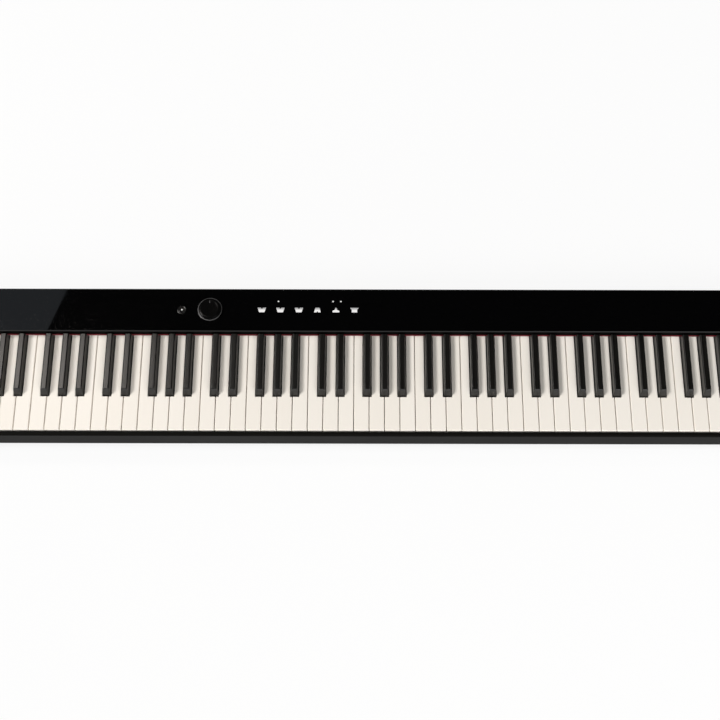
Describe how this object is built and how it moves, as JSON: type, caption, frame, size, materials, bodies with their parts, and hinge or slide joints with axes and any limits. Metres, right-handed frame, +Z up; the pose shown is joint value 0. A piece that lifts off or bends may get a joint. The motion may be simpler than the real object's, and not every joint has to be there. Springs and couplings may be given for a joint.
{
  "type": "digital piano",
  "caption": "Slim slab digital piano with a full weighted keyboard, gloss control panel with a volume knob, power button and touch signs, end blocks and rear jack bay.",
  "frame": {"origin": "on the table, under the middle of the case", "axes": "+X to the treble end, +Y to the back, +Z up; the player sits at -Y"},
  "size_m": [1.322, 0.232, 0.102],
  "materials": {
    "key_white": "smooth moulded plastic with a soft shine",
    "key_black": "finely brushed matte plastic",
    "case_black": "fine-grained matte moulding",
    "panel_gloss": "polished black",
    "control_black": "satin black",
    "felt_red": "woven felt",
    "felt_grey": "pressed felt",
    "frame_grey": "plain moulding",
    "steel": "plated steel",
    "board_green": "circuit board lacquer",
    "rubber_grey": "silicone rubber",
    "rubber_black": "soft rubber",
    "sign_white": "lit white",
    "socket_black": "moulded plastic",
    "speaker_metal": "painted steel"
  },
  "bodies": {
    "case": {"contact_board": "board_green", "contact_strip": "rubber_grey", "data_socket": "steel", "front_rail": "case_black", "indicator_lamps": "sign_white", "jack_sockets": "socket_black", "key_felt": "felt_red", "key_frame": "frame_grey", "left_end_block": "case_black", "lower_case": "case_black", "main_board": "board_green", "panel_board": "board_green", "pivot_rod": "steel", "power_inlet": "socket_black", "rear_panel": "case_black", "right_end_block": "case_black", "rubber_feet": "rubber_black", "speakers": "speaker_metal", "stop_felts": "felt_grey", "top_panel": "panel_gloss", "volume_potentiometer": "frame_grey"},
    "power": {"power_button": "control_black"},
    "volume": {"volume_knob": "control_black", "volume_shaft": "steel"},
    "outer_c_keys": {"outer_c_keys": "key_white"},
    "outer_d_keys": {"outer_d_keys": "key_white"},
    "outer_e_keys": {"outer_e_keys": "key_white"},
    "outer_f_keys": {"outer_f_keys": "key_white"},
    "outer_g_keys": {"outer_g_keys": "key_white"},
    "outer_a_keys": {"outer_a_keys": "key_white"},
    "outer_b_keys": {"outer_b_keys": "key_white"},
    "outer_black_keys_cfa": {"outer_black_keys_cfa": "key_black"},
    "outer_black_keys_dg": {"outer_black_keys_dg": "key_black"},
    "white_key_f3": {"white_key_f3": "key_white"},
    "black_key_fs3": {"black_key_fs3": "key_black"},
    "white_key_g3": {"white_key_g3": "key_white"},
    "black_key_gs3": {"black_key_gs3": "key_black"},
    "white_key_a3": {"white_key_a3": "key_white"},
    "black_key_as3": {"black_key_as3": "key_black"},
    "white_key_b3": {"white_key_b3": "key_white"},
    "white_key_c4": {"white_key_c4": "key_white"},
    "black_key_cs4": {"black_key_cs4": "key_black"},
    "white_key_d4": {"white_key_d4": "key_white"},
    "black_key_ds4": {"black_key_ds4": "key_black"},
    "white_key_e4": {"white_key_e4": "key_white"},
    "white_key_f4": {"white_key_f4": "key_white"},
    "black_key_fs4": {"black_key_fs4": "key_black"},
    "white_key_g4": {"white_key_g4": "key_white"},
    "black_key_gs4": {"black_key_gs4": "key_black"},
    "white_key_a4": {"white_key_a4": "key_white"},
    "black_key_as4": {"black_key_as4": "key_black"},
    "white_key_b4": {"white_key_b4": "key_white"},
    "white_key_c5": {"white_key_c5": "key_white"},
    "black_key_cs5": {"black_key_cs5": "key_black"},
    "white_key_d5": {"white_key_d5": "key_white"},
    "black_key_ds5": {"black_key_ds5": "key_black"},
    "white_key_e5": {"white_key_e5": "key_white"}
  },
  "joints": [
    {"name": "control_power_press", "type": "slide", "parent": "case", "child": "power", "axis": [0, 0, -1], "range_m": [0, 0.001], "stiffness_N_per_m": 150, "springref_m": -0.004},
    {"name": "control_volume_turn", "type": "hinge", "parent": "case", "child": "volume", "pos_m": [-0.224, 0.0805, 0.094], "axis": [0, 0, 1], "range_deg": [-140, 140]},
    {"name": "keys_outer_c_keys", "type": "hinge", "parent": "case", "child": "outer_c_keys", "pos_m": [0, 0.08, 0.062], "axis": [1, 0, 0], "range_deg": [0, 3.05], "stiffness_Nm_per_rad": 3, "springref_deg": -17.19},
    {"name": "keys_outer_d_keys", "type": "hinge", "parent": "case", "child": "outer_d_keys", "pos_m": [0, 0.08, 0.062], "axis": [1, 0, 0], "range_deg": [0, 3.05], "stiffness_Nm_per_rad": 2.5, "springref_deg": -17.19},
    {"name": "keys_outer_e_keys", "type": "hinge", "parent": "case", "child": "outer_e_keys", "pos_m": [0, 0.08, 0.062], "axis": [1, 0, 0], "range_deg": [0, 3.05], "stiffness_Nm_per_rad": 2.5, "springref_deg": -17.19},
    {"name": "keys_outer_f_keys", "type": "hinge", "parent": "case", "child": "outer_f_keys", "pos_m": [0, 0.08, 0.062], "axis": [1, 0, 0], "range_deg": [0, 3.05], "stiffness_Nm_per_rad": 2.5, "springref_deg": -17.19},
    {"name": "keys_outer_g_keys", "type": "hinge", "parent": "case", "child": "outer_g_keys", "pos_m": [0, 0.08, 0.062], "axis": [1, 0, 0], "range_deg": [0, 3.05], "stiffness_Nm_per_rad": 2.5, "springref_deg": -17.19},
    {"name": "keys_outer_a_keys", "type": "hinge", "parent": "case", "child": "outer_a_keys", "pos_m": [0, 0.08, 0.062], "axis": [1, 0, 0], "range_deg": [0, 3.05], "stiffness_Nm_per_rad": 3, "springref_deg": -17.19},
    {"name": "keys_outer_b_keys", "type": "hinge", "parent": "case", "child": "outer_b_keys", "pos_m": [0, 0.08, 0.062], "axis": [1, 0, 0], "range_deg": [0, 3.05], "stiffness_Nm_per_rad": 3, "springref_deg": -17.19},
    {"name": "keys_outer_black_keys_cfa", "type": "hinge", "parent": "case", "child": "outer_black_keys_cfa", "pos_m": [0, 0.08, 0.062], "axis": [1, 0, 0], "range_deg": [0, 4.06], "stiffness_Nm_per_rad": 8, "springref_deg": -17.19},
    {"name": "keys_outer_black_keys_dg", "type": "hinge", "parent": "case", "child": "outer_black_keys_dg", "pos_m": [0, 0.08, 0.062], "axis": [1, 0, 0], "range_deg": [0, 4.06], "stiffness_Nm_per_rad": 5, "springref_deg": -17.19},
    {"name": "key_f3", "type": "hinge", "parent": "case", "child": "white_key_f3", "pos_m": [-0.15275, 0.08, 0.062], "axis": [1, 0, 0], "range_deg": [0, 3.05], "stiffness_Nm_per_rad": 0.5, "springref_deg": -17.19},
    {"name": "key_f3_sharp", "type": "hinge", "parent": "case", "child": "black_key_fs3", "pos_m": [-0.1443, 0.08, 0.062], "axis": [1, 0, 0], "range_deg": [0, 4.06], "stiffness_Nm_per_rad": 0.5, "springref_deg": -17.19},
    {"name": "key_g3", "type": "hinge", "parent": "case", "child": "white_key_g3", "pos_m": [-0.12925, 0.08, 0.062], "axis": [1, 0, 0], "range_deg": [0, 3.05], "stiffness_Nm_per_rad": 0.5, "springref_deg": -17.19},
    {"name": "key_g3_sharp", "type": "hinge", "parent": "case", "child": "black_key_gs3", "pos_m": [-0.1175, 0.08, 0.062], "axis": [1, 0, 0], "range_deg": [0, 4.06], "stiffness_Nm_per_rad": 0.5, "springref_deg": -17.19},
    {"name": "key_a3", "type": "hinge", "parent": "case", "child": "white_key_a3", "pos_m": [-0.10575, 0.08, 0.062], "axis": [1, 0, 0], "range_deg": [0, 3.05], "stiffness_Nm_per_rad": 0.5, "springref_deg": -17.19},
    {"name": "key_a3_sharp", "type": "hinge", "parent": "case", "child": "black_key_as3", "pos_m": [-0.0907, 0.08, 0.062], "axis": [1, 0, 0], "range_deg": [0, 4.06], "stiffness_Nm_per_rad": 0.5, "springref_deg": -17.19},
    {"name": "key_b3", "type": "hinge", "parent": "case", "child": "white_key_b3", "pos_m": [-0.08225, 0.08, 0.062], "axis": [1, 0, 0], "range_deg": [0, 3.05], "stiffness_Nm_per_rad": 0.5, "springref_deg": -17.19},
    {"name": "key_c4", "type": "hinge", "parent": "case", "child": "white_key_c4", "pos_m": [-0.05875, 0.08, 0.062], "axis": [1, 0, 0], "range_deg": [0, 3.05], "stiffness_Nm_per_rad": 0.5, "springref_deg": -17.19},
    {"name": "key_c4_sharp", "type": "hinge", "parent": "case", "child": "black_key_cs4", "pos_m": [-0.0494, 0.08, 0.062], "axis": [1, 0, 0], "range_deg": [0, 4.06], "stiffness_Nm_per_rad": 0.5, "springref_deg": -17.19},
    {"name": "key_d4", "type": "hinge", "parent": "case", "child": "white_key_d4", "pos_m": [-0.03525, 0.08, 0.062], "axis": [1, 0, 0], "range_deg": [0, 3.05], "stiffness_Nm_per_rad": 0.5, "springref_deg": -17.19},
    {"name": "key_d4_sharp", "type": "hinge", "parent": "case", "child": "black_key_ds4", "pos_m": [-0.0211, 0.08, 0.062], "axis": [1, 0, 0], "range_deg": [0, 4.06], "stiffness_Nm_per_rad": 0.5, "springref_deg": -17.19},
    {"name": "key_e4", "type": "hinge", "parent": "case", "child": "white_key_e4", "pos_m": [-0.01175, 0.08, 0.062], "axis": [1, 0, 0], "range_deg": [0, 3.05], "stiffness_Nm_per_rad": 0.5, "springref_deg": -17.19},
    {"name": "key_f4", "type": "hinge", "parent": "case", "child": "white_key_f4", "pos_m": [0.01175, 0.08, 0.062], "axis": [1, 0, 0], "range_deg": [0, 3.05], "stiffness_Nm_per_rad": 0.5, "springref_deg": -17.19},
    {"name": "key_f4_sharp", "type": "hinge", "parent": "case", "child": "black_key_fs4", "pos_m": [0.0202, 0.08, 0.062], "axis": [1, 0, 0], "range_deg": [0, 4.06], "stiffness_Nm_per_rad": 0.5, "springref_deg": -17.19},
    {"name": "key_g4", "type": "hinge", "parent": "case", "child": "white_key_g4", "pos_m": [0.03525, 0.08, 0.062], "axis": [1, 0, 0], "range_deg": [0, 3.05], "stiffness_Nm_per_rad": 0.5, "springref_deg": -17.19},
    {"name": "key_g4_sharp", "type": "hinge", "parent": "case", "child": "black_key_gs4", "pos_m": [0.047, 0.08, 0.062], "axis": [1, 0, 0], "range_deg": [0, 4.06], "stiffness_Nm_per_rad": 0.5, "springref_deg": -17.19},
    {"name": "key_a4", "type": "hinge", "parent": "case", "child": "white_key_a4", "pos_m": [0.05875, 0.08, 0.062], "axis": [1, 0, 0], "range_deg": [0, 3.05], "stiffness_Nm_per_rad": 0.5, "springref_deg": -17.19},
    {"name": "key_a4_sharp", "type": "hinge", "parent": "case", "child": "black_key_as4", "pos_m": [0.0738, 0.08, 0.062], "axis": [1, 0, 0], "range_deg": [0, 4.06], "stiffness_Nm_per_rad": 0.5, "springref_deg": -17.19},
    {"name": "key_b4", "type": "hinge", "parent": "case", "child": "white_key_b4", "pos_m": [0.08225, 0.08, 0.062], "axis": [1, 0, 0], "range_deg": [0, 3.05], "stiffness_Nm_per_rad": 0.5, "springref_deg": -17.19},
    {"name": "key_c5", "type": "hinge", "parent": "case", "child": "white_key_c5", "pos_m": [0.10575, 0.08, 0.062], "axis": [1, 0, 0], "range_deg": [0, 3.05], "stiffness_Nm_per_rad": 0.5, "springref_deg": -17.19},
    {"name": "key_c5_sharp", "type": "hinge", "parent": "case", "child": "black_key_cs5", "pos_m": [0.1151, 0.08, 0.062], "axis": [1, 0, 0], "range_deg": [0, 4.06], "stiffness_Nm_per_rad": 0.5, "springref_deg": -17.19},
    {"name": "key_d5", "type": "hinge", "parent": "case", "child": "white_key_d5", "pos_m": [0.12925, 0.08, 0.062], "axis": [1, 0, 0], "range_deg": [0, 3.05], "stiffness_Nm_per_rad": 0.5, "springref_deg": -17.19},
    {"name": "key_d5_sharp", "type": "hinge", "parent": "case", "child": "black_key_ds5", "pos_m": [0.1434, 0.08, 0.062], "axis": [1, 0, 0], "range_deg": [0, 4.06], "stiffness_Nm_per_rad": 0.5, "springref_deg": -17.19},
    {"name": "key_e5", "type": "hinge", "parent": "case", "child": "white_key_e5", "pos_m": [0.15275, 0.08, 0.062], "axis": [1, 0, 0], "range_deg": [0, 3.05], "stiffness_Nm_per_rad": 0.5, "springref_deg": -17.19}
  ]
}
